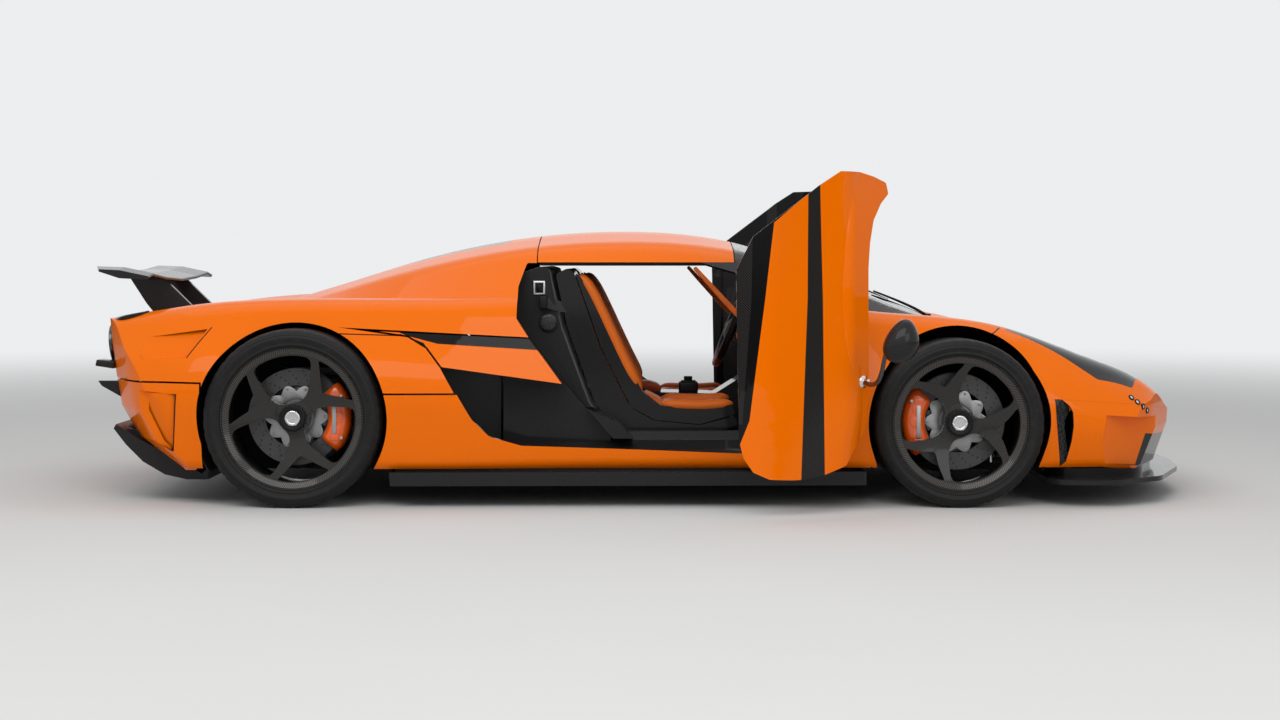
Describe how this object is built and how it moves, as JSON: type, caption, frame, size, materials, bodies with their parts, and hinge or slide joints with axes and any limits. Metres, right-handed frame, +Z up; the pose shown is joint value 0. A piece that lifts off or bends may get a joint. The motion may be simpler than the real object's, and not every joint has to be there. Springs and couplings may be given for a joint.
{
  "type": "two-seat mid-engined supercar",
  "caption": "Low two-seat mid-engined sports car with doors swung out and upright, raised rear wing and opening lids.",
  "frame": {"origin": "on the ground, below the middle of the car's box", "axes": "+X to the nose, +Y to the car's left, +Z up"},
  "size_m": [4.623, 2.886, 1.3313],
  "materials": {
    "alloy": "satin",
    "black_plastic": "satin",
    "caliper": "painted",
    "carbon": "lacquered woven carbon",
    "disc": "ground",
    "engine_metal": "cast",
    "glass": "tinted",
    "lamp_glass": "clear over dark",
    "leather_black": "stitched",
    "leather_orange": "stitched",
    "orange_paint": "metallic clear-coated paint",
    "rim_carbon": "lacquered woven carbon",
    "steel": "brushed",
    "tyre": "black"
  },
  "bodies": {
    "body": {"front_fenders": "orange_paint", "front_bumper": "orange_paint", "front_splitter": "carbon", "headlamps": "lamp_glass", "roof_panel": "orange_paint", "windscreen_frame": "black_plastic", "windscreen": "glass", "side_blades": "orange_paint", "sill_panels": "orange_paint", "rear_bumper": "orange_paint", "rear_diffuser": "carbon", "underfloor": "carbon", "tub": "carbon", "arch_liners": "black_plastic", "dashboard": "leather_black", "centre_console": "carbon", "seat_shells": "carbon", "seat_pads": "leather_orange", "engine": "engine_metal", "exhaust": "steel", "suspension_front": "alloy", "suspension_rear": "alloy", "hub_carriers": "alloy", "calipers_rear": "caliper"},
    "bonnet": {"bonnet": "orange_paint"},
    "rear_clamshell": {"rear_clamshell": "orange_paint", "rear_window": "glass", "rear_wing": "carbon", "tail_lamps": "lamp_glass"},
    "steering_wheel": {"steering_wheel": "leather_black"},
    "knuckle_right": {"knuckle_right": "alloy", "caliper_front_right": "caliper"},
    "wheel_front_right": {"tyre_front_right": "tyre", "rim_front_right": "rim_carbon", "brake_disc_front_right": "disc"},
    "wheel_rear_right": {"tyre_rear_right": "tyre", "rim_rear_right": "rim_carbon", "brake_disc_rear_right": "disc"},
    "door_arm_right": {"door_arm_right": "alloy"},
    "door_yoke_right": {"door_yoke_right": "alloy"},
    "door_right": {"door_skin_right": "orange_paint", "door_inner_right": "leather_black", "mirror_right": "carbon"},
    "knuckle_left": {"knuckle_left": "alloy", "caliper_front_left": "caliper"},
    "wheel_front_left": {"tyre_front_left": "tyre", "rim_front_left": "rim_carbon", "brake_disc_front_left": "disc"},
    "wheel_rear_left": {"tyre_rear_left": "tyre", "rim_rear_left": "rim_carbon", "brake_disc_rear_left": "disc"},
    "door_arm_left": {"door_arm_left": "alloy"},
    "door_yoke_left": {"door_yoke_left": "alloy"},
    "door_left": {"door_skin_left": "orange_paint", "door_inner_left": "leather_black", "mirror_left": "carbon"}
  },
  "joints": [
    {"name": "steer_left", "type": "hinge", "parent": "body", "child": "knuckle_left", "pos_m": [1.2545, 0.7845, 0.337], "axis": [0, 0, 1], "range_deg": [-28, 28]},
    {"name": "steer_right", "type": "hinge", "parent": "body", "child": "knuckle_right", "pos_m": [1.2545, -0.7845, 0.337], "axis": [0, 0, 1], "range_deg": [-28, 28]},
    {"name": "steering_wheel_turn", "type": "hinge", "parent": "body", "child": "steering_wheel", "pos_m": [0.395, 0.374, 0.668], "axis": [-0.9272, 0, 0.3746], "range_deg": [-280, 280]},
    {"name": "spin_front_right", "type": "hinge", "parent": "knuckle_right", "child": "wheel_front_right", "pos_m": [1.2545, -0.85, 0.337], "axis": [0, 1, 0], "continuous": true},
    {"name": "spin_rear_right", "type": "hinge", "parent": "body", "child": "wheel_rear_right", "pos_m": [-1.4075, -0.825, 0.357], "axis": [0, 1, 0], "continuous": true},
    {"name": "door_arm_right_swing", "type": "hinge", "parent": "body", "child": "door_arm_right", "pos_m": [0.5955, -0.778, 0.568], "axis": [0, 0, -1], "range_deg": [0, 90]},
    {"name": "door_yoke_right_turn", "type": "hinge", "parent": "door_arm_right", "child": "door_yoke_right", "pos_m": [0.56543, -1.12169, 0.568], "axis": [0, 0, -1], "range_deg": [-90, 0]},
    {"name": "door_right_turn", "type": "hinge", "parent": "door_yoke_right", "child": "door_right", "pos_m": [0.56543, -1.12169, 0.568], "axis": [0, 1, 0], "range_deg": [-90, 0]},
    {"name": "spin_front_left", "type": "hinge", "parent": "knuckle_left", "child": "wheel_front_left", "pos_m": [1.2545, 0.85, 0.337], "axis": [0, 1, 0], "continuous": true},
    {"name": "spin_rear_left", "type": "hinge", "parent": "body", "child": "wheel_rear_left", "pos_m": [-1.4075, 0.825, 0.357], "axis": [0, 1, 0], "continuous": true},
    {"name": "door_arm_left_swing", "type": "hinge", "parent": "body", "child": "door_arm_left", "pos_m": [0.5955, 0.778, 0.568], "axis": [0, 0, 1], "range_deg": [0, 90]},
    {"name": "door_yoke_left_turn", "type": "hinge", "parent": "door_arm_left", "child": "door_yoke_left", "pos_m": [0.56543, 1.12169, 0.568], "axis": [0, 0, 1], "range_deg": [-90, 0]},
    {"name": "door_left_turn", "type": "hinge", "parent": "door_yoke_left", "child": "door_left", "pos_m": [0.56543, 1.12169, 0.568], "axis": [0, 1, 0], "range_deg": [-90, 0]},
    {"name": "bonnet_lift", "type": "hinge", "parent": "body", "child": "bonnet", "pos_m": [2.061, 0, 0.4571], "axis": [0, 1, 0], "range_deg": [0, 60]},
    {"name": "rear_clamshell_lift", "type": "hinge", "parent": "body", "child": "rear_clamshell", "pos_m": [-2.22314, 0, 0.5035], "axis": [0, -1, 0], "range_deg": [0, 50]}
  ],
  "couplings": [
    {"joint": "steer_right", "follows": "steer_left", "ratio": 1},
    {"joint": "steering_wheel_turn", "follows": "steer_left", "ratio": 10},
    {"joint": "door_yoke_right_turn", "follows": "door_arm_right_swing", "ratio": -1},
    {"joint": "door_right_turn", "follows": "door_arm_right_swing", "ratio": -1},
    {"joint": "door_yoke_left_turn", "follows": "door_arm_left_swing", "ratio": -1},
    {"joint": "door_left_turn", "follows": "door_arm_left_swing", "ratio": -1}
  ]
}
